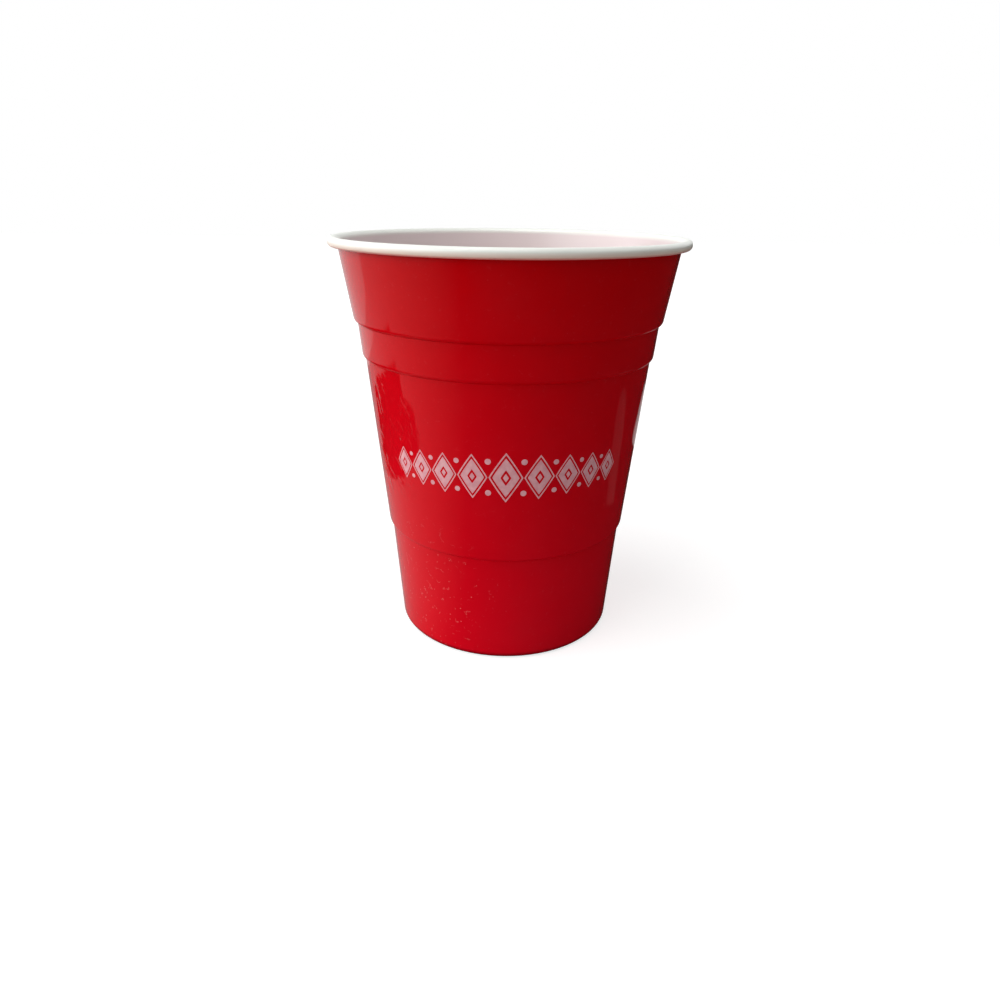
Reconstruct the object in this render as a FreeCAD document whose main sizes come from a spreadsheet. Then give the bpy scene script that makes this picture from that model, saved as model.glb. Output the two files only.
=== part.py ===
import FreeCAD, Part
import os

import Sketcher

# A party cup of about half a litre, thermoformed in one piece from a thin sheet: a tapered wall with
# three outward steps, a lip rolled outward and down, and a base panel raised inside a standing ring.
# Lengths are in millimetres. Z is the cup's axis, pointing up, and the origin is the centre of the
# circle it stands on.

SIZES = [
    ("wall", 0.4, "thickness of the sheet"),
    ("cup_height", 112, "table to the top of the lip"),
    ("foot_radius", 32, "outside of the wall, run on down to the table"),
    ("lower_radius", 34.4, "outside of the wall just under the lower step"),
    ("lower_height", 32.2, "foot of the lower step"),
    ("middle_radius", 39.65, "outside of the wall just under the middle step"),
    ("middle_height", 81.1, "foot of the middle step"),
    ("upper_radius", 41.3, "outside of the wall just under the upper step"),
    ("upper_height", 90.6, "foot of the upper step"),
    ("step_out", 0.77, "how far the lower and middle steps widen the cup on its radius"),
    ("upper_step_out", 0.9, "how far the upper step widens the cup on its radius"),
    ("step_rise", 0.36, "height of each step's ledge"),
    ("crease_round", 0.2, "bend at the foot of a step, outside"),
    ("shoulder_round", 1.2, "bend at the top of a step, outside"),
    ("lip_radius", 45.6, "outside of the wall, run on up to the crown of the lip"),
    ("lip_round", 1.1, "bend from the wall into the crown, on the under face"),
    ("rim_radius", 47.8, "widest part of the rolled lip"),
    ("roll_height", 2.5, "height of the rolled lip"),
    ("roll_round", 0.75, "bends at the outside of the roll, on the under face"),
    ("cut_edge_radius", 45.95, "cut edge of the sheet, tucked under the roll"),
    ("ring_inner_radius", 28.6, "inner edge of the standing ring"),
    ("ring_round", 0.8, "rounding of the standing ring's inner edge"),
    ("heel_round", 1.5, "rounding of the cup's bottom corner"),
    ("panel_radius", 27.2, "edge of the raised base panel"),
    ("panel_height", 3, "table to the underside of the base panel"),
    ("panel_round", 0.8, "rounding of the base panel's edge"),
]

CROWN = "sizes.cup_height - sizes.wall"
ROLL_OUTSIDE = "sizes.rim_radius - sizes.wall"
ROLL_UNDERSIDE = "sizes.cup_height - sizes.roll_height + sizes.wall"


def step(name, out="sizes.step_out"):
    """The two bends of a step: a crease on the narrower wall below, a round shoulder on the wider one."""
    radius = f"sizes.{name}_radius"
    height = f"sizes.{name}_height"
    wider = f"{radius} + {out}"
    higher = f"{height} + sizes.step_rise"
    return [
        (f"{name}_crease", radius, height, "sizes.crease_round"),
        (f"{name}_shoulder", wider, higher, "sizes.shoulder_round"),
    ]


# The face of the sheet that ends up outside the cup, as corners (name, radius, height, rounding)
# from the middle of the base panel, out and up the wall, and round the rolled lip to the cut edge.
CORNERS = [
    ("panel_middle", "0", "sizes.panel_height", None),
    ("panel_edge", "sizes.panel_radius", "sizes.panel_height", "sizes.panel_round"),
    ("ring_edge", "sizes.ring_inner_radius", "0", "sizes.ring_round"),
    ("heel", "sizes.foot_radius", "0", "sizes.heel_round"),
    *step("lower"),
    *step("middle"),
    *step("upper", "sizes.upper_step_out"),
    ("lip_crown", "sizes.lip_radius", CROWN, "sizes.lip_round"),
    ("roll_top", ROLL_OUTSIDE, CROWN, "sizes.roll_round"),
    ("roll_bottom", ROLL_OUTSIDE, ROLL_UNDERSIDE, "sizes.roll_round"),
    ("cut_edge", "sizes.cut_edge_radius", ROLL_UNDERSIDE, None),
]

HORIZONTAL_AXIS = -1
VERTICAL_AXIS = -2
START, END = 1, 2


def make_sheet(doc):
    """The spreadsheet of driving dimensions, one row each: its name, its value and what it is."""
    sheet = doc.addObject("Spreadsheet::Sheet", "sizes")
    for row, (alias, value, note) in enumerate(SIZES, start=1):
        sheet.set(f"A{row}", alias)
        sheet.set(f"B{row}", str(value))
        sheet.set(f"C{row}", note)
        sheet.setAlias(f"B{row}", alias)
    doc.recompute()
    return sheet


def origin_feature(body, role):
    """One of the body's own origin planes or axes."""
    return next(feature for feature in body.Origin.OriginFeatures if feature.Role == role)


def bind(sketch, constraint, name, expression):
    """Adds a dimension to the sketch and drives it from the spreadsheet."""
    index = sketch.addConstraint(constraint)
    sketch.renameConstraint(index, name)
    sketch.setExpression(f"Constraints.{name}", expression)


def hold_corner(sketch, line, end, name, radius, height):
    """Places the end of a line at a corner's radius and height. A corner on an axis is held to it."""
    if radius == "0":
        sketch.addConstraint(Sketcher.Constraint("PointOnObject", line, end, VERTICAL_AXIS))
    else:
        distance = Sketcher.Constraint("DistanceX", line, end, sketch.evalExpression(radius))
        bind(sketch, distance, f"{name}_radius", radius)
    if height == "0":
        sketch.addConstraint(Sketcher.Constraint("PointOnObject", line, end, HORIZONTAL_AXIS))
    else:
        distance = Sketcher.Constraint("DistanceY", line, end, sketch.evalExpression(height))
        bind(sketch, distance, f"{name}_height", height)


def draw_outside_face(sketch):
    """Straight runs from corner to corner, then an arc of the stated radius at each corner that has one."""
    spots = [
        FreeCAD.Vector(sketch.evalExpression(radius), sketch.evalExpression(height), 0)
        for name, radius, height, rounding in CORNERS
    ]
    lines = [
        sketch.addGeometry(Part.LineSegment(begin, finish), False)
        for begin, finish in zip(spots, spots[1:])
    ]
    for before, after in zip(lines, lines[1:]):
        sketch.addConstraint(Sketcher.Constraint("Coincident", before, END, after, START))
    hold_corner(sketch, lines[0], START, *CORNERS[0][:3])
    for line, (name, radius, height, rounding) in zip(lines, CORNERS[1:]):
        hold_corner(sketch, line, END, name, radius, height)

    middles = [(begin + finish) / 2 for begin, finish in zip(spots, spots[1:])]
    for before, after, (name, radius, height, rounding) in zip(lines, lines[1:], CORNERS[1:]):
        sides = middles[before], middles[after]
        sketch.fillet(before, after, *sides, sketch.evalExpression(rounding), True, True)
        corner_point = sketch.GeometryCount - 1
        arc = corner_point - 1
        arc_radius = Sketcher.Constraint("Radius", arc, sketch.evalExpression(rounding))
        bind(sketch, arc_radius, f"{name}_round", rounding)


def make_cup(doc):
    """The cup's body: the outside face, thickened inwards to the sheet, carried round the axis."""
    body = doc.addObject("PartDesign::Body", "cup")
    face = body.newObject("Sketcher::SketchObject", "outside_face")
    face.AttachmentSupport = [(origin_feature(body, "XZ_Plane"), "")]
    face.MapMode = "FlatFace"
    draw_outside_face(face)
    doc.recompute()
    if not face.FullyConstrained:
        raise RuntimeError("the outside face is not fully dimensioned")

    section = body.newObject("PartDesign::SubShapeBinder", "sheet_section")
    section.Support = [(face, "")]
    section.OffsetFill = True
    section.OffsetOpenResult = True
    section.setExpression("Offset", "sizes.wall")
    doc.recompute()

    cup = body.newObject("PartDesign::Revolution", "formed_cup")
    cup.Profile = section
    cup.ReferenceAxis = (origin_feature(body, "Z_Axis"), [""])
    cup.Angle = 360
    body.Label = "cup"
    body.Placement = FreeCAD.Placement()
    return body


def check(doc, parts):
    """Stops if anything in the document failed, or a part has no sound single solid."""
    for item in doc.Objects:
        if "Invalid" in item.State or "Error" in item.State:
            raise RuntimeError(f"{item.Label} failed: {item.State}")
    for part in parts:
        if part.Shape.isNull() or not part.Shape.isValid() or len(part.Shape.Solids) != 1:
            raise RuntimeError(f"{part.Label} is not one sound solid")


document = FreeCAD.newDocument("party_cup")
make_sheet(document)
pieces = [make_cup(document)]
document.recompute()
check(document, pieces)

os.makedirs("parts", exist_ok=True)
for piece in pieces:
    piece.Shape.exportStep(os.path.join("parts", f"{piece.Label}.step"))
    box = piece.Shape.optimalBoundingBox()
    print(
        f"{piece.Label}: {box.XLength:.2f} x {box.YLength:.2f} x {box.ZLength:.2f} mm,",
        f"{piece.Shape.Volume:.0f} cubic mm of plastic, {len(piece.Shape.Faces)} faces",
    )
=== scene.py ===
# %% [markdown]
# # A plastic party cup
# The cup is one thin sheet of plastic, red on one face and white on the other, heated and pulled down
# into a mould. This lesson draws the sheet's section once, carries it round the axis, gives each face
# its plastic, prints an ornament on the wall and lights the cup the way a window would.
#
# The frame comes first. It is the measured model of the cup, and its box is the size to keep to.

# %% The measured frame
import math

import bpy
import numpy as np
from mathutils import Matrix, Vector


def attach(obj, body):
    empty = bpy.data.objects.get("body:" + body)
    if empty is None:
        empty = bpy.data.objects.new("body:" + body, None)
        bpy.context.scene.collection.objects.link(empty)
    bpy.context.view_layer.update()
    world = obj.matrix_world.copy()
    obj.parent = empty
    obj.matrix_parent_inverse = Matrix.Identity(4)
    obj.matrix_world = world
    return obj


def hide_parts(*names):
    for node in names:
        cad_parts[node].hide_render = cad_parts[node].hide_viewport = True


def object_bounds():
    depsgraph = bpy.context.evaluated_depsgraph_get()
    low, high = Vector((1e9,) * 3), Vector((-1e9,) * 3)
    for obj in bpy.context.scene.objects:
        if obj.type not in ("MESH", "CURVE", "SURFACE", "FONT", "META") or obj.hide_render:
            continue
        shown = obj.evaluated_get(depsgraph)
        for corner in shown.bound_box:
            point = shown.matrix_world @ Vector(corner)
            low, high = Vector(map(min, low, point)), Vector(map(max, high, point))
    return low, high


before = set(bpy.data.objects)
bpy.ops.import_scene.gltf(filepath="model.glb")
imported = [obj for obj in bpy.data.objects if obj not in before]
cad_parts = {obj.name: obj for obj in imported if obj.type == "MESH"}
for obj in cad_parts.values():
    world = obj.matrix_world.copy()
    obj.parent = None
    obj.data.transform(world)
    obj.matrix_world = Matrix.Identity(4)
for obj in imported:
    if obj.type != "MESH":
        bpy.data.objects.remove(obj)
frame_low, frame_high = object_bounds()
MM = 0.001
print("frame box, mm:", [round(side / MM, 1) for side in frame_high - frame_low])

# %% [markdown]
# ## The section of the sheet
# Seen in section, the cup's outside is a string of straight runs with a small round bend between each
# two: across the base panel, down to the standing ring, up the wall over three steps, and round the
# rolled lip. A designer gives the corners that the runs would meet at, and a radius for each bend.
#
# The bends matter more than their size suggests. Each one catches a thin line of light or shade, and
# that is what makes a step readable on glossy plastic.

# %% Corners and bends, in millimetres
WALL = 0.4
HEIGHT = frame_high.z / MM
RIM_RADIUS = frame_high.x / MM
STEP_OUT, UPPER_STEP_OUT, STEP_RISE = 0.77, 0.9, 0.36
CREASE_ROUND, SHOULDER_ROUND = 0.2, 1.2
LOWER_STEP = (34.4, 32.2)
MIDDLE_STEP = (39.65, 81.1)
UPPER_STEP = (41.3, 90.6)
FOOT_RADIUS, HEEL_ROUND = 32.0, 1.5
PANEL_RADIUS, PANEL_HEIGHT = 27.2, 3.0
RING_INNER_RADIUS, BASE_ROUND = 28.6, 0.8
LIP_RADIUS, LIP_ROUND = 45.6, 1.1
ROLL_HEIGHT, ROLL_ROUND, CUT_EDGE_RADIUS = 2.5, 0.75, 45.95


def step(foot, out=STEP_OUT):
    """The two bends of a step: a tight crease on the narrower wall, a round shoulder on the wider one."""
    radius, height = foot
    return [(radius, height, CREASE_ROUND), (radius + out, height + STEP_RISE, SHOULDER_ROUND)]


OUTSIDE_CORNERS = np.array([
    (0, PANEL_HEIGHT, 0),
    (PANEL_RADIUS, PANEL_HEIGHT, BASE_ROUND),
    (RING_INNER_RADIUS, 0, BASE_ROUND),
    (FOOT_RADIUS, 0, HEEL_ROUND),
    *step(LOWER_STEP),
    *step(MIDDLE_STEP),
    *step(UPPER_STEP, UPPER_STEP_OUT),
    (LIP_RADIUS, HEIGHT - WALL, LIP_ROUND),
    (RIM_RADIUS - WALL, HEIGHT - WALL, ROLL_ROUND),
    (RIM_RADIUS - WALL, HEIGHT - ROLL_HEIGHT + WALL, ROLL_ROUND),
    (CUT_EDGE_RADIUS, HEIGHT - ROLL_HEIGHT + WALL, 0),
])
print("corners of the section:", len(OUTSIDE_CORNERS))

# %% [markdown]
# ## A path with round bends
# At a corner where the path turns by an angle, an arc of radius R touches both runs at a distance of
# R times the tangent of half that angle. Its points are the arc's start plus R times the way the
# heading swings. The path also keeps its heading at every point, because a quarter turn of the heading
# is the direction in which the sheet has its thickness.

# %% The outside face as a path
BEND_STEP = math.radians(6)
RUN_STEP = 5.0
RUN_END = 0.15


def run_stations(length):
    """Distances along a straight run: about every RUN_STEP, and one close to each end, so that the
    shading of a bend doesn't spread into the run."""
    if length < 4 * RUN_END:
        return np.array([0.0, length])
    inner = np.linspace(RUN_END, length - RUN_END, max(2, round(length / RUN_STEP) + 1))
    return np.concatenate([[0.0], inner, [length]])


def rounded_path(corners):
    """Points and headings of a path through (radius, height, rounding) corners. On a run the heading
    is constant. On a bend it swings evenly, and each point is the bend's start plus the rounding times
    (sine of heading, minus cosine of heading) taken from the start to here, times the turn's sign."""
    spots, rounds = corners[:, :2], corners[:, 2]
    legs = np.diff(spots, axis=0)
    lengths = np.hypot(*legs.T)
    headings = np.unwrap(np.arctan2(legs[:, 1], legs[:, 0]))
    turns = np.diff(headings)
    reach = np.concatenate([[0], rounds[1:-1] * np.tan(np.abs(turns) / 2), [0]])
    points, ways = [], []
    for leg, (heading, length) in enumerate(zip(headings, lengths)):
        along = np.array([math.cos(heading), math.sin(heading)])
        begin = spots[leg] + along * reach[leg]
        stations = run_stations(length - reach[leg] - reach[leg + 1])
        points.append(begin + stations[:, None] * along)
        ways.append(np.full(len(stations), heading))
        if leg < len(turns):
            count = max(3, math.ceil(abs(turns[leg]) / BEND_STEP))
            swing = heading + turns[leg] * np.arange(1, count) / count
            bend = np.stack([np.sin(swing) - math.sin(heading), math.cos(heading) - np.cos(swing)], axis=1)
            points.append(points[-1][-1] + rounds[leg + 1] * np.sign(turns[leg]) * bend)
            ways.append(swing)
    return np.concatenate(points), np.concatenate(ways)


outside, heading = rounded_path(OUTSIDE_CORNERS)
print("points on the outside face:", len(outside))

# %% [markdown]
# ## From a line to a sheet, and from the sheet to a cup
# The white face lies one wall thickness to the left of the red face, at right angles to the heading.
# Walking out along the red face and back along the white one gives the whole section, and carrying it
# round the axis gives a closed skin. The first and last points lie on the axis, where the skin closes
# in a fan round one vertex.
#
# Blender's Spin tool or a Screw modifier would do the same. Working the grid out as one array keeps
# the faces in a known order, so the two colours can be given out by row.

# %% The cup's skin
ROUND_COUNT = 240
# The third finish is the red of the step ledges, whose low reflection is a painted shade in the creases.
GLOSSY_RED, WHITE, LEDGE_SHADE = range(3)
LEDGE_HEADING = math.radians(68)


def close_fans(rings, poles, count):
    """Vertices and faces of rings of count points, closed by a fan round one vertex at each end. Face
    (i, j) joins point j and the point beside it on ring i to the same two on ring i + 1."""
    vertices = np.vstack([rings, poles])
    first, last = len(rings), len(rings) + 1
    here = np.arange(len(rings)).reshape(-1, count)
    beside = np.roll(here, -1, axis=1)
    quads = np.stack([here[:-1], beside[:-1], beside[1:], here[1:]], axis=-1).reshape(-1, 4)
    start_fan = np.stack([np.full(count, first), beside[0], here[0]], axis=-1)
    end_fan = np.stack([np.full(count, last), here[-1], beside[-1]], axis=-1)
    return vertices, [face for fan in (start_fan, quads, end_fan) for face in fan.tolist()]


def carry_round(radius, height):
    """A section carried round the axis: ring i is at radius[i] times (cosine, sine) of the angle and at
    height[i]. Both ends of the section are on the axis, and each is a single vertex."""
    angle = np.linspace(0, 2 * np.pi, ROUND_COUNT, endpoint=False)
    rings = np.stack([
        np.outer(radius[1:-1], np.cos(angle)),
        np.outer(radius[1:-1], np.sin(angle)),
        np.repeat(height[1:-1, None], ROUND_COUNT, axis=1),
    ], axis=-1).reshape(-1, 3)
    poles = [(0, 0, height[0]), (0, 0, height[-1])]
    return close_fans(rings, poles, ROUND_COUNT)


def make_object(name, vertices, faces):
    """A mesh object at the origin, its vertices in millimetres, with smooth shading."""
    mesh = bpy.data.meshes.new(name)
    mesh.from_pydata((vertices * MM).tolist(), [], faces)
    mesh.shade_smooth()
    mesh.set_sharp_from_angle(angle=math.radians(40))
    piece = bpy.data.objects.new(name, mesh)
    bpy.context.collection.objects.link(piece)
    return piece


inward = np.stack([-np.sin(heading), np.cos(heading)], axis=1)
inside = outside + WALL * inward
section = np.vstack([outside, inside[::-1]])
vertices, faces = carry_round(section[:, 0], section[:, 1])
cup = make_object("cup_skin", vertices, faces)

row_heading = (heading[:-1] + heading[1:]) / 2
row_height = (outside[:-1, 1] + outside[1:, 1]) / 2
on_steps = (row_height > LOWER_STEP[1] - CREASE_ROUND) & (row_height < UPPER_STEP[1] + SHOULDER_ROUND)
# Painted shade: the ledges of the steps get a copy of the red that hardly reflects, so each crease reads as a dark
# line.
row_finish = np.where(on_steps & (row_heading < LEDGE_HEADING), LEDGE_SHADE, GLOSSY_RED)
red_faces = ROUND_COUNT * len(row_finish)
face_finish = np.full(len(faces), WHITE, dtype=np.int32)
face_finish[:red_faces] = np.repeat(row_finish, ROUND_COUNT)
cup.data.polygons.foreach_set("material_index", face_finish)
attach(cup, "root")
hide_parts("cup")
print("cup skin:", len(vertices), "vertices,", len(faces), "faces,", red_faces, "of them red")

# %% [markdown]
# ## Colours and nodes
# A hex colour is written for a screen. A shader wants the amount of light, so one function turns each
# channel from sRGB to linear. A second small function adds a node with its settings and links, which
# keeps each material readable as a list of what it is made of.

# %% Two small helpers
def linear(hex_colour):
    """An sRGB hex colour as linear red, green, blue and 1 for alpha."""
    channels = np.array([int(hex_colour[i:i + 2], 16) for i in (1, 3, 5)]) / 255
    low = channels / 12.92
    high = ((channels + 0.055) / 1.055) ** 2.4
    return (*np.where(channels <= 0.04045, low, high).tolist(), 1.0)


def add_node(tree, kind, settings=None, **inputs):
    """Adds a node, sets its properties, and sets or links its inputs. An input's key is its name with
    _ for a space, or in and a number for its place, and its value is a number, a colour or a socket."""
    node = tree.nodes.new(kind)
    for key, value in (settings or {}).items():
        setattr(node, key, value)
    for key, value in inputs.items():
        place = key[2:]
        by_place = key[:2] == "in" and place.isdigit()
        socket = node.inputs[int(place)] if by_place else node.inputs[key.replace("_", " ")]
        if isinstance(value, bpy.types.NodeSocket):
            tree.links.new(value, socket)
        else:
            socket.default_value = value
    return node


def new_material(name):
    """An empty material: its tree and its Principled shader, already on the output."""
    material = bpy.data.materials.new(name)
    material.use_nodes = True
    tree = material.node_tree
    return material, tree, tree.nodes["Principled BSDF"]


PER_MM = 1 / MM
print("red as light:", [round(channel, 3) for channel in linear("#c8081a")])

# %% [markdown]
# ## Red polystyrene
# The outside is high-impact polystyrene with a glossy co-extruded skin. Its red is darker at the lip
# and lighter towards the foot. Fresh from the mould the skin is smooth, but it was stretched while
# soft, so it is very slightly wavy.
# Where a thumb has pressed it, it has kept a few slanted ridges, and reflections break up into streaks.
# Handling adds smudges, and standing about adds specks of dust, most of them where it was last put
# down. The ledges of the steps hardly reflect, which is a painted shade that makes each crease a dark
# line, and the heel is darkened by a painted shade where the cup meets the floor.
#
# Everything reads the object's own coordinates, in metres, so a pattern's scale is one over its size.

# %% The outside's plastic
# The heel's near-black red is a painted shade where the cup meets the floor.
LIP_RED, FOOT_RED, HEEL_SHADE_RED = "#c70008", "#e6071f", "#3a040c"
SMOOTH_SHINE, LEDGE_SHINE = 0.5, 0.04
SPECK_CELL, LINT_CELL = 1.5, 3.4
DUSTY_SPOT, DUSTY_FROM, DUSTY_TO = (-0.021, -0.025, 0.018), 0.012, 0.026
RIPPLED_SPOT, RIPPLED_FROM, RIPPLED_TO = (-0.034, -0.016, 0.061), 0.012, 0.022


def red_polystyrene(name, shine):
    """High-impact polystyrene, red: lighter towards the foot, wavy, smudged, a little dusty, with a painted
    shade at the heel. Shine is how strongly it reflects: 0.5 for a smooth skin, less for the ledges' copy,
    where the weak reflection is a painted shade in the creases."""
    material, tree, shader = new_material(name)
    place = add_node(tree, "ShaderNodeTexCoord").outputs["Object"]
    height = add_node(tree, "ShaderNodeSeparateXYZ", Vector=place).outputs["Z"]
    mottle = add_node(tree, "ShaderNodeTexNoise", Vector=place, Scale=PER_MM / 30)
    # The red is darker at the lip and lighter towards the foot.
    towards_foot = add_node(tree, "ShaderNodeMapRange", Value=height, From_Min=0.112, From_Max=0.0)
    uneven = add_node(
        tree, "ShaderNodeMath", {"operation": "MULTIPLY_ADD"},
        in0=mottle.outputs["Fac"], in1=0.16, in2=towards_foot.outputs["Result"],
    )
    uneven = add_node(tree, "ShaderNodeMath", {"operation": "SUBTRACT", "use_clamp": True}, in0=uneven.outputs[0], in1=0.08)
    body = add_node(
        tree, "ShaderNodeMix", {"data_type": "RGBA"}, Factor=uneven.outputs[0],
        in6=linear(LIP_RED), in7=linear(FOOT_RED),
    )

    cells = add_node(tree, "ShaderNodeTexVoronoi", Vector=place, Scale=PER_MM / SPECK_CELL)
    cell_tone = add_node(tree, "ShaderNodeSeparateColor", Color=cells.outputs["Color"])
    speck = add_node(
        tree, "ShaderNodeMapRange", Value=cells.outputs["Distance"], From_Min=0.08, From_Max=0.16, To_Min=1, To_Max=0
    )
    rare = add_node(
        tree, "ShaderNodeMapRange", Value=cell_tone.outputs["Red"], From_Min=0.6, From_Max=1.0, To_Min=0, To_Max=1
    )
    away = add_node(tree, "ShaderNodeVectorMath", {"operation": "DISTANCE"}, in0=place, in1=DUSTY_SPOT)
    dusty = add_node(
        tree, "ShaderNodeMapRange", Value=away.outputs["Value"],
        From_Min=DUSTY_FROM, From_Max=DUSTY_TO, To_Min=0.5, To_Max=0.05,
    )
    specks = add_node(tree, "ShaderNodeMath", {"operation": "MULTIPLY"}, in0=speck.outputs[0], in1=rare.outputs[0])
    curled = add_node(tree, "ShaderNodeTexNoise", Vector=place, Scale=PER_MM / 2)
    bent = add_node(
        tree, "ShaderNodeVectorMath", {"operation": "MULTIPLY_ADD"},
        in0=curled.outputs["Color"], in1=(0.003, 0.003, 0.003), in2=place,
    )
    threads = add_node(
        tree, "ShaderNodeTexVoronoi", {"feature": "DISTANCE_TO_EDGE"},
        Vector=bent.outputs["Vector"], Scale=PER_MM / LINT_CELL,
    )
    thread = add_node(
        tree, "ShaderNodeMapRange", Value=threads.outputs["Distance"],
        From_Min=0.015, From_Max=0.05, To_Min=1.0, To_Max=0.0,
    )
    torn = add_node(tree, "ShaderNodeTexNoise", Vector=place, Scale=PER_MM / 1.6)
    short = add_node(tree, "ShaderNodeMapRange", Value=torn.outputs["Fac"], From_Min=0.58, From_Max=0.7, To_Max=0.6)
    lint = add_node(tree, "ShaderNodeMath", {"operation": "MULTIPLY"}, in0=thread.outputs[0], in1=short.outputs[0])
    dust = add_node(tree, "ShaderNodeMath", {"operation": "MAXIMUM"}, in0=specks.outputs[0], in1=lint.outputs[0])
    dust = add_node(tree, "ShaderNodeMath", {"operation": "MULTIPLY"}, in0=dust.outputs[0], in1=dusty.outputs[0])
    # Painted shade: the lowest 2 mm darken towards a near-black red where the cup meets the floor.
    heel_shade = add_node(tree, "ShaderNodeMapRange", Value=height, From_Min=0.0, From_Max=0.002, To_Min=1.0, To_Max=0.0)
    body = add_node(
        tree, "ShaderNodeMix", {"data_type": "RGBA"}, Factor=heel_shade.outputs["Result"],
        in6=body.outputs[2], in7=linear(HEEL_SHADE_RED),
    )
    colour = add_node(
        tree, "ShaderNodeMix", {"data_type": "RGBA"}, Factor=dust.outputs[0],
        in6=body.outputs[2], in7=linear("#f09090"),
    )

    handled = add_node(tree, "ShaderNodeTexNoise", Vector=place, Scale=PER_MM / 12, Detail=4.0)
    smudges = add_node(
        tree, "ShaderNodeMapRange", Value=handled.outputs["Fac"],
        From_Min=0.4, From_Max=0.7, To_Min=0.05, To_Max=0.11,
    )
    drawn_out = add_node(tree, "ShaderNodeMapping", Vector=place, Scale=(1, 1, 0.5))
    waves = add_node(
        tree, "ShaderNodeTexNoise", Vector=drawn_out.outputs["Vector"], Scale=PER_MM / 9, Detail=1.0
    )
    slanted = add_node(
        tree, "ShaderNodeMapping", {"vector_type": "TEXTURE"}, Vector=place,
        Rotation=(math.radians(-33), 0, 0), Scale=(1, 1, 3.5),
    )
    pressed = add_node(
        tree, "ShaderNodeTexNoise", Vector=slanted.outputs["Vector"], Scale=PER_MM / 2.4, Detail=1.0, Distortion=0.6
    )
    ridges = add_node(tree, "ShaderNodeMapRange", Value=pressed.outputs["Fac"], From_Min=0.5, From_Max=0.72)
    away = add_node(tree, "ShaderNodeVectorMath", {"operation": "DISTANCE"}, in0=place, in1=RIPPLED_SPOT)
    rippled = add_node(
        tree, "ShaderNodeMapRange", Value=away.outputs["Value"],
        From_Min=RIPPLED_FROM, From_Max=RIPPLED_TO, To_Min=0.11, To_Max=0.0,
    )
    ripples = add_node(tree, "ShaderNodeMath", {"operation": "MULTIPLY"}, in0=ridges.outputs["Result"], in1=rippled.outputs[0])
    relief = add_node(
        tree, "ShaderNodeMath", {"operation": "MULTIPLY_ADD"},
        in0=waves.outputs["Fac"], in1=0.04, in2=ripples.outputs[0],
    )
    skin = add_node(tree, "ShaderNodeBump", Height=relief.outputs[0], Strength=1.0, Distance=MM)
    tree.links.new(colour.outputs[2], shader.inputs["Base Color"])
    tree.links.new(smudges.outputs["Result"], shader.inputs["Roughness"])
    tree.links.new(skin.outputs["Normal"], shader.inputs["Normal"])
    shader.inputs["IOR"].default_value = 1.5
    shader.inputs["Specular IOR Level"].default_value = shine
    return material


glossy_red = red_polystyrene("red_high_impact_polystyrene", SMOOTH_SHINE)
# Painted shade: this copy reflects almost nothing, so the creases read as dark lines.
ledge_shade_red = red_polystyrene("ledge_shade_red_high_impact_polystyrene", LEDGE_SHINE)
print("materials:", glossy_red.name, "and", ledge_shade_red.name)

# %% [markdown]
# ## White polystyrene
# The inside and the outside of the rolled lip are the sheet's other face. It is the same plastic with
# white pigment, a little less glossy where lips and cloths have rubbed it. On the wall it is pinker,
# where the red layer behind the thin white one shows through, and darker than on the lip: that
# difference is painted shade inside the cup and painted light on the lip. The underside of the roll
# has a painted warm reflected light, and its lowest edge a painted pink light.

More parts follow.
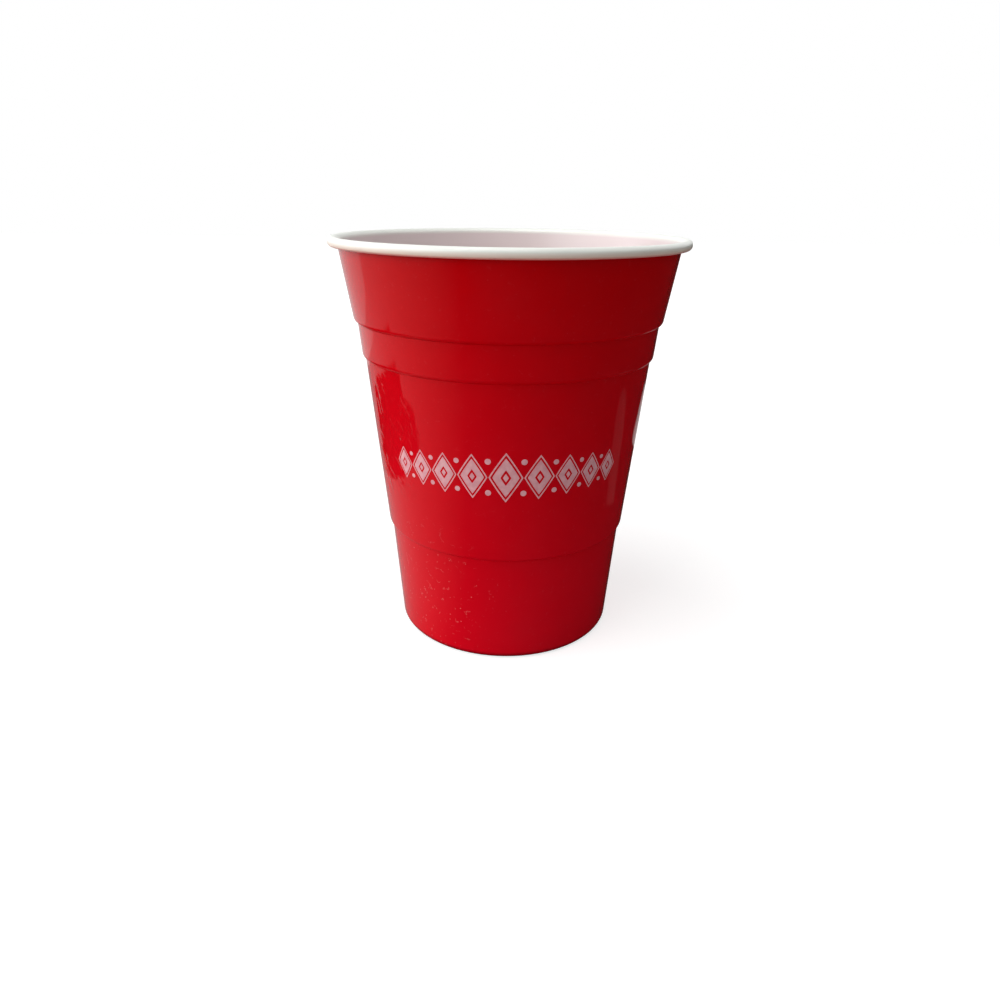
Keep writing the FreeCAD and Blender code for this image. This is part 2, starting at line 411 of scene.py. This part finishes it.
# %% The inside's plastic
def white_polystyrene():
    """High-impact polystyrene, white: satin gloss, faint smudges, darker and pinker on the wall than on the
    lip, with painted shade inside and painted light on the lip, and painted warm and pink light on the
    underside of the roll."""
    material, tree, shader = new_material("white_high_impact_polystyrene")
    place = add_node(tree, "ShaderNodeTexCoord").outputs["Object"]
    height = add_node(tree, "ShaderNodeSeparateXYZ", Vector=place).outputs["Z"]
    across = add_node(tree, "ShaderNodeVectorMath", {"operation": "MULTIPLY"}, in0=place, in1=(1, 1, 0))
    radius = add_node(tree, "ShaderNodeVectorMath", {"operation": "LENGTH"}, in0=across.outputs["Vector"])
    on_roll = add_node(tree, "ShaderNodeMapRange", Value=radius.outputs["Value"], From_Min=0.0459, From_Max=0.0468)
    on_crown = add_node(tree, "ShaderNodeMapRange", Value=height, From_Min=0.1102, From_Max=0.1114)
    lip = add_node(tree, "ShaderNodeMath", {"operation": "MAXIMUM"}, in0=on_roll.outputs[0], in1=on_crown.outputs[0])
    mottle = add_node(tree, "ShaderNodeTexNoise", Vector=place, Scale=PER_MM / 25)
    # The wall's white is pink where the red shows through the thin layer, and darker than the lip's as a painted
    # shade inside the cup.
    wall = add_node(
        tree, "ShaderNodeMix", {"data_type": "RGBA"}, Factor=mottle.outputs["Fac"],
        in6=linear("#decfcf"), in7=linear("#e4d6d5"),
    )
    # The lip's lighter white is painted light on the top of the cup.
    white = add_node(
        tree, "ShaderNodeMix", {"data_type": "RGBA"}, Factor=lip.outputs[0],
        in6=wall.outputs[2], in7=linear("#eef1ea"),
    )
    # Painted light: a warm reflected light painted on the underside of the roll.
    low = add_node(tree, "ShaderNodeMapRange", Value=height, From_Min=0.1112, From_Max=0.1101)
    painted_bounce = add_node(tree, "ShaderNodeMath", {"operation": "MULTIPLY"}, in0=on_roll.outputs[0], in1=low.outputs[0])
    with_painted_bounce = add_node(
        tree, "ShaderNodeMix", {"data_type": "RGBA"}, Factor=painted_bounce.outputs[0],
        in6=white.outputs[2], in7=linear("#f6dccb"),
    )
    # Painted light: a pink light painted on the lowest edge of the roll.
    lowest = add_node(tree, "ShaderNodeMapRange", Value=height, From_Min=0.1101, From_Max=0.1096)
    glow = add_node(tree, "ShaderNodeMath", {"operation": "MULTIPLY"}, in0=on_roll.outputs[0], in1=lowest.outputs[0])
    colour = add_node(
        tree, "ShaderNodeMix", {"data_type": "RGBA"}, Factor=glow.outputs[0],
        in6=with_painted_bounce.outputs[2], in7=linear("#e8827a"),
    )
    handled = add_node(tree, "ShaderNodeTexNoise", Vector=place, Scale=PER_MM / 10, Detail=4.0)
    smudges = add_node(
        tree, "ShaderNodeMapRange", Value=handled.outputs["Fac"],
        From_Min=0.4, From_Max=0.7, To_Min=0.28, To_Max=0.4,
    )
    grain = add_node(tree, "ShaderNodeTexNoise", Vector=place, Scale=PER_MM / 4)
    skin = add_node(tree, "ShaderNodeBump", Height=grain.outputs["Fac"], Strength=0.25, Distance=0.08 * MM)
    tree.links.new(colour.outputs[2], shader.inputs["Base Color"])
    tree.links.new(smudges.outputs["Result"], shader.inputs["Roughness"])
    tree.links.new(skin.outputs["Normal"], shader.inputs["Normal"])
    shader.inputs["IOR"].default_value = 1.5
    return material


for finish in (glossy_red, white_polystyrene(), ledge_shade_red):
    cup.data.materials.append(finish)
print("finishes of the cup:", len(cup.data.materials))

# %% [markdown]
# ## The print
# Party cups are often printed with one colour of screen ink, pale on red. This one has a plain frieze:
# a row of lozenges that shrinks towards both ends, each with a thin outline and an open middle, and
# dots in the notches between them. Each shape is worked out flat, in millimetres along and up the
# wall, and then laid on the wall, so it is bent exactly as the ink is.

# %% Laying a flat shape on the wall
PRINT_HEIGHT = 57.0
INK_LOW, INK_HIGH = 0.005, 0.03
OUTLINE_COUNT, PATCH_ROWS = 96, 4
shoulder_radius = LOWER_STEP[0] + STEP_OUT
shoulder_height = LOWER_STEP[1] + STEP_RISE
WALL_SLOPE = (MIDDLE_STEP[0] - shoulder_radius) / (MIDDLE_STEP[1] - shoulder_height)
WALL_LEAN = math.atan(WALL_SLOPE)
PRINT_RADIUS = shoulder_radius + WALL_SLOPE * (PRINT_HEIGHT - shoulder_height)


def on_wall(along, up, proud):
    """Points on the wall between the lower and middle steps. The distance along the wall, divided by
    the wall's radius at the print, is the angle round the axis. The distance up the wall leans out
    with it, and proud is the height off the wall at right angles to it."""
    angle = along / PRINT_RADIUS
    radius = PRINT_RADIUS + up * math.sin(WALL_LEAN) + proud * math.cos(WALL_LEAN)
    height = PRINT_HEIGHT + up * math.cos(WALL_LEAN) - proud * math.sin(WALL_LEAN)
    return np.stack([radius * np.sin(angle), -radius * np.cos(angle), height], axis=-1)


def ink_rows(centre, half_size, scales, power):
    """Rows of the closed curve |x/a|^power + |y/b|^power = 1, which is a lozenge for power 1 and an
    ellipse for power 2, scaled about its centre: first on the under face, then back on the upper one."""
    turn = np.linspace(0, 2 * np.pi, OUTLINE_COUNT, endpoint=False)
    along = half_size[0] * np.sign(np.cos(turn)) * np.abs(np.cos(turn)) ** (2 / power)
    up = half_size[1] * np.sign(np.sin(turn)) * np.abs(np.sin(turn)) ** (2 / power)
    scale = np.concatenate([scales, scales[::-1]])[:, None]
    proud = np.repeat([INK_LOW, INK_HIGH], len(scales))[:, None] + 0 * along
    return on_wall(centre[0] + scale * along, centre[1] + scale * up, proud).reshape(-1, 3)


def ink_ring(centre, half_size, inner, outer, power):
    """A closed ring of ink. Its rows go out on the under face and back on the upper one, and the last
    row meets the first again."""
    rows = ink_rows(centre, half_size, np.linspace(inner, outer, PATCH_ROWS), power)
    here = np.arange(len(rows)).reshape(-1, OUTLINE_COUNT)
    after = np.roll(here, -1, axis=0)
    faces = np.stack([here, np.roll(here, -1, axis=1), np.roll(after, -1, axis=1), after], axis=-1)
    return rows, faces.reshape(-1, 4).tolist()


def ink_spot(centre, half_size, power):
    """A filled spot of ink: rows from the middle out and back, closed by a fan at each face's middle."""
    rows = ink_rows(centre, half_size, np.linspace(0, 1, PATCH_ROWS + 1)[1:], power)
    poles = on_wall(np.full(2, centre[0]), np.full(2, centre[1]), np.array([INK_LOW, INK_HIGH]))
    return close_fans(rows, poles, OUTLINE_COUNT)


print("print radius, mm:", round(PRINT_RADIUS, 2), "wall leans by degrees:", round(math.degrees(WALL_LEAN), 2))

# %% The frieze
CENTRE_LOZENGE = (4.6, 7.2)
SHRINK = 0.9
LOZENGES_EACH_SIDE = 4
TOUCH = 0.98
LOZENGE = 1.05
DOT_SHARE = 0.17


def frieze():
    """Every ink shape of the frieze: lozenges whose tips nearly touch, each SHRINK times the last, with
    a thin outline, a wide core and a spot in the core, and a dot above and below each pair of tips."""
    shapes = []
    for side in (-1, 1):
        middle, half = 0.0, np.array(CENTRE_LOZENGE)
        for number in range(LOZENGES_EACH_SIDE + 1):
            if number or side == 1:
                centre = (side * middle, 0.0)
                shapes.append(ink_ring(centre, half, 0.86, 0.95, LOZENGE))
                shapes.append(ink_ring(centre, half, 0.3, 0.74, LOZENGE))
                shapes.append(ink_spot(centre, 0.16 * half, LOZENGE))
            if number < LOZENGES_EACH_SIDE:
                tip = side * (middle + half[0] * TOUCH)
                dot = np.full(2, half[0] * DOT_SHARE)
                for level in (-0.6, 0.6):
                    shapes.append(ink_spot((tip, level * half[1]), dot, 2.0))
            middle += half[0] * (1 + SHRINK) * TOUCH
            half = half * SHRINK
    return shapes


def join(shapes):
    """One set of vertices and faces from many."""
    starts = np.cumsum([0] + [len(points) for points, faces in shapes]).tolist()
    points = np.vstack([points for points, faces in shapes])
    faces = [
        [corner + start for corner in face]
        for (shape_points, shape_faces), start in zip(shapes, starts) for face in shape_faces
    ]
    return points, faces


ink_shapes = frieze()
ink = make_object("printed_frieze", *join(ink_shapes))
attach(ink, "root")
print("ink shapes:", len(ink_shapes), "faces:", len(ink.data.polygons))

# %% [markdown]
# ## Screen ink
# White screen ink is thin, so the red under it shows through as pink, a little more in some places
# than in others. It dries satin, not glossy.

# %% The ink's finish
def screen_ink():
    """White vinyl screen ink on red plastic: pale pink, satin, slightly uneven in cover."""
    material, tree, shader = new_material("white_vinyl_screen_ink")
    place = add_node(tree, "ShaderNodeTexCoord").outputs["Object"]
    cover = add_node(tree, "ShaderNodeTexNoise", Vector=place, Scale=PER_MM / 1.2, Detail=3.0)
    even = add_node(tree, "ShaderNodeMapRange", Value=cover.outputs["Fac"], From_Min=0.35, From_Max=0.65)
    colour = add_node(
        tree, "ShaderNodeMix", {"data_type": "RGBA"}, Factor=even.outputs["Result"],
        in6=linear("#e49ea6"), in7=linear("#efb2b8"),
    )
    dried = add_node(tree, "ShaderNodeTexNoise", Vector=place, Scale=PER_MM / 2)
    satin = add_node(
        tree, "ShaderNodeMapRange", Value=dried.outputs["Fac"],
        From_Min=0.3, From_Max=0.7, To_Min=0.35, To_Max=0.5,
    )
    tree.links.new(colour.outputs[2], shader.inputs["Base Color"])
    tree.links.new(satin.outputs["Result"], shader.inputs["Roughness"])
    shader.inputs["IOR"].default_value = 1.5
    return material


ink.data.materials.append(screen_ink())
print("material:", ink.data.materials[0].name)

# %% [markdown]
# ## Floor and sky
# The photograph's background is plain white. Here the floor glows white for the camera and for
# reflections only, and lights nothing, so the cup's light stays at a plain level and the white lip
# doesn't burn out. Near the cup it glows less, and its paint does the rest there under the lamps, so it
# still takes the cup's shadow.

# %% The floor
FLOOR_SIZE = 4.0
FLOOR_PAINT = "#bebebe"
GLOW_NEAR, GLOW_FAR, NEAR, FAR = 0.7, 1.0, 0.2, 0.6
AMBIENT = 0.165


def seen_directly(tree):
    """1 for a ray from the camera, a reflection or a clear material, and 0 for any other."""
    path = add_node(tree, "ShaderNodeLightPath").outputs
    seen = add_node(
        tree, "ShaderNodeMath", {"operation": "MAXIMUM"}, in0=path["Is Camera Ray"], in1=path["Is Glossy Ray"]
    )
    return add_node(
        tree, "ShaderNodeMath", {"operation": "MAXIMUM"}, in0=seen.outputs[0], in1=path["Is Transmission Ray"]
    ).outputs[0]


white_table, table_tree, table_shader = new_material("matt_white_table")
floor_place = add_node(table_tree, "ShaderNodeTexCoord").outputs["Object"]
from_cup = add_node(table_tree, "ShaderNodeVectorMath", {"operation": "LENGTH"}, in0=floor_place)
outwards = add_node(
    table_tree, "ShaderNodeMapRange", Value=from_cup.outputs["Value"],
    From_Min=NEAR, From_Max=FAR, To_Min=GLOW_NEAR, To_Max=GLOW_FAR,
)
glow = add_node(
    table_tree, "ShaderNodeMath", {"operation": "MULTIPLY"}, in0=seen_directly(table_tree), in1=outwards.outputs["Result"]
)
table_tree.links.new(glow.outputs[0], table_shader.inputs["Emission Strength"])
table_shader.inputs["Emission Color"].default_value = (1, 1, 1, 1)
table_shader.inputs["Base Color"].default_value = linear(FLOOR_PAINT)
table_shader.inputs["Roughness"].default_value = 0.9

half_floor = FLOOR_SIZE / 2 / MM
floor = make_object("floor", half_floor * np.array([(-1, -1, 0), (1, -1, 0), (1, 1, 0), (-1, 1, 0)]), [[0, 1, 2, 3]])
floor.data.materials.append(white_table)

world = bpy.data.worlds.new("studio")
bpy.context.scene.world = world
world.use_nodes = True
sky = world.node_tree
level = add_node(sky, "ShaderNodeMapRange", Value=seen_directly(sky), To_Min=AMBIENT, To_Max=1.0)
sky.links.new(level.outputs["Result"], sky.nodes["Background"].inputs["Strength"])
sky.nodes["Background"].inputs["Color"].default_value = (1, 1, 1, 1)
print("floor, m:", FLOOR_SIZE, "ambient light:", AMBIENT)

# %% [markdown]
# ## Light
# One broad soft lamp stands for a window on the left, wide enough for the shading to fall off slowly
# round the cup. It stands low, so that the ledge of a step, which faces down, still gets some of its
# light; the dark line at each crease is the ledges' painted shade. A small lamp above keeps the lip's
# far side from going grey, and a weak one on the right does the same for the wall. Directions are
# angles round the cup from the camera's side, positive to the right, and angles above the floor.

# %% The lamps
CUP_MIDDLE = Vector((0, 0, 0.06))


def direction(azimuth, elevation):
    """The unit vector at an angle round the axis from -Y towards +X, and at an angle above the floor."""
    azimuth, elevation = math.radians(azimuth), math.radians(elevation)
    level = math.cos(elevation)
    return Vector((math.sin(azimuth) * level, -math.cos(azimuth) * level, math.sin(elevation)))


def area_lamp(name, azimuth, elevation, distance, size, watts):
    """A soft rectangular lamp in a direction from the cup's middle, facing it."""
    light = bpy.data.lights.new(name, "AREA")
    light.shape = "RECTANGLE"
    light.size, light.size_y = size
    light.energy = watts
    lamp = bpy.data.objects.new(name, light)
    way = direction(azimuth, elevation)
    lamp.location = CUP_MIDDLE + distance * way
    lamp.rotation_euler = (-way).to_track_quat("-Z", "Y").to_euler()
    bpy.context.collection.objects.link(lamp)
    return lamp


window = area_lamp("window", -75, 24, 0.7, (1.2, 0.5), 5.5)
above = area_lamp("above", -40, 76, 0.7, (0.4, 0.4), 2.3)
fill = area_lamp("fill", 100, 45, 0.28, (0.4, 0.2), 0.15)
print("lamps, watts:", *(lamp.data.energy for lamp in (window, above, fill)))

# %% [markdown]
# ## What the gloss sees
# A glossy wall that leans out reflects the table, not the room. A photographer who wants deep red
# there lays a graded card round the object, grey on the window's side and black on the other, and
# the card is trimmed out of the picture. A lighter card behind it on the window's side gives the cup's
# left edge its bright band. Here the cards are seen by reflections only, and they light and shade
# nothing.

# %% Cards for the reflections
CARD_INNER, CARD_OUTER, CARD_HEIGHT = FOOT_RADIUS - 1, 1900.0, 0.02
WALL_CARD_RADIUS = 520.0
GREY_SIDE, GREY = -120, 0.36


def only_reflected(card):
    """Hides a card from the camera, from diffuse light and from shadows, so that reflections see it."""
    card.visible_camera = card.visible_diffuse = card.visible_shadow = False


def polar(radius, azimuth, height):
    """Points at radii and angles round the axis from -Y towards +X, in degrees, at a height."""
    turn = np.radians(azimuth)
    return np.stack([radius * np.sin(turn), -radius * np.cos(turn), height + 0 * turn], axis=-1)


def strip_faces(count):
    """Faces between two rows of count points, the second row after the first."""
    low = np.arange(count - 1)
    return np.stack([low, low + 1, low + 1 + count, low + count], axis=-1).tolist()


def card_material(name, strength):
    """A card of one brightness, the same under any lamp."""
    material, tree, shader = new_material(name)
    shader.inputs["Base Color"].default_value = (0, 0, 0, 1)
    shader.inputs["Specular IOR Level"].default_value = 0.0
    shader.inputs["Emission Color"].default_value = (1, 1, 1, 1)
    shader.inputs["Emission Strength"].default_value = strength
    return material, tree, shader


graded_card, card_tree, card_shader = card_material("graded_card", 0.0)
place = add_node(card_tree, "ShaderNodeTexCoord").outputs["Object"]
across = add_node(card_tree, "ShaderNodeVectorMath", {"operation": "MULTIPLY"}, in0=place, in1=(1, 1, 0))
way = add_node(card_tree, "ShaderNodeVectorMath", {"operation": "NORMALIZE"}, in0=across.outputs["Vector"])
facing = add_node(
    card_tree, "ShaderNodeVectorMath", {"operation": "DOT_PRODUCT"}, in0=way.outputs["Vector"],
    in1=direction(GREY_SIDE, 0),
)
graded = add_node(
    card_tree, "ShaderNodeMapRange", Value=facing.outputs["Value"], From_Max=1.0, To_Min=0.01, To_Max=GREY
)
card_tree.links.new(graded.outputs["Result"], card_shader.inputs["Emission Strength"])

all_round = np.linspace(-180, 180, 97)
ring_card = make_object(
    "ring_card", np.vstack([polar(CARD_INNER, all_round, CARD_HEIGHT), polar(CARD_OUTER, all_round, CARD_HEIGHT)]),
    strip_faces(97),
)
ring_card.data.materials.append(graded_card)
only_reflected(ring_card)

right_side = np.linspace(60, 165, 40)
wall_card = make_object(
    "wall_card",
    np.vstack([polar(WALL_CARD_RADIUS, right_side, 0.2), polar(WALL_CARD_RADIUS, right_side, 150)]),
    strip_faces(40),
)
wall_card.data.materials.append(graded_card)
only_reflected(wall_card)


def flat_card(name, strength, height, corners):
    """A card of one brightness lying at a height, from corners given as (radius, azimuth)."""
    radius, azimuth = np.array(corners, dtype=float).T
    card = make_object(name, polar(radius, azimuth, height), [list(range(len(corners)))])
    card.data.materials.append(card_material(name, strength)[0])
    only_reflected(card)
    return card


light_card = flat_card("light_card", 0.66, 0.3, [
    (1800, -112), (560, -111), (460, -110.5), (410, -111), (385, -113), (360, -117), (345, -121),
    (340, -150), (500, -175), (1800, -178),
])
black_card = flat_card("black_card", 0.01, 0.5, [
    (276, -90), (252, -88), (232, -87.5), (217, -86), (208, -80), (199, -76), (187, -74.5),
    (176, -73), (165, -72.5), (150, -71), (130, -90), (125, -116), (149, -132),
    (262, -134), (276, -128), (276, -110),
])
pale_card = flat_card("pale_card", 0.07, 0.5, [
    (105, 93), (105, 106), (190, 108), (229, 106), (245, 101), (229, 97), (190, 94),
])
edge_card = flat_card("edge_card", 0.4, 0.5, [
    (175, 135), (175, 158), (300, 162), (300, 149), (240, 141), (190, 134),
])
print("cards seen in the gloss:", 6)

# %% [markdown]
# ## The camera
# The photograph was taken from close by and a little above, from a little over 20 cm. Its place, tilt
# and lens come from fitting the cup's outline, so that the lip's curve is right as well as its size.

# %% The camera
CAMERA_PLACE = Vector((0, -0.20869, 0.12238))
PITCH, ROLL, YAW = (math.radians(angle) for angle in (22.6, -0.69, -0.47))
LENS = 26.51

ahead = Vector((math.sin(YAW) * math.cos(PITCH), math.cos(YAW) * math.cos(PITCH), -math.sin(PITCH)))
level_right = Vector((math.cos(YAW), -math.sin(YAW), 0))
level_down = ahead.cross(level_right)
image_right = math.cos(ROLL) * level_right + math.sin(ROLL) * level_down
image_down = math.cos(ROLL) * level_down - math.sin(ROLL) * level_right

camera_data = bpy.data.cameras.new("camera")
camera_data.lens = LENS
camera_data.sensor_width = 36
camera_data.clip_start = 0.01
camera = bpy.data.objects.new("camera", camera_data)
camera.matrix_world = Matrix.Translation(CAMERA_PLACE) @ Matrix(
    (image_right, -image_down, -ahead)
).transposed().to_4x4()
bpy.context.collection.objects.link(camera)
bpy.context.scene.camera = camera
bpy.context.scene.view_settings.view_transform = "Standard"
print("camera, m from the axis:", round(CAMERA_PLACE.xy.length, 3))
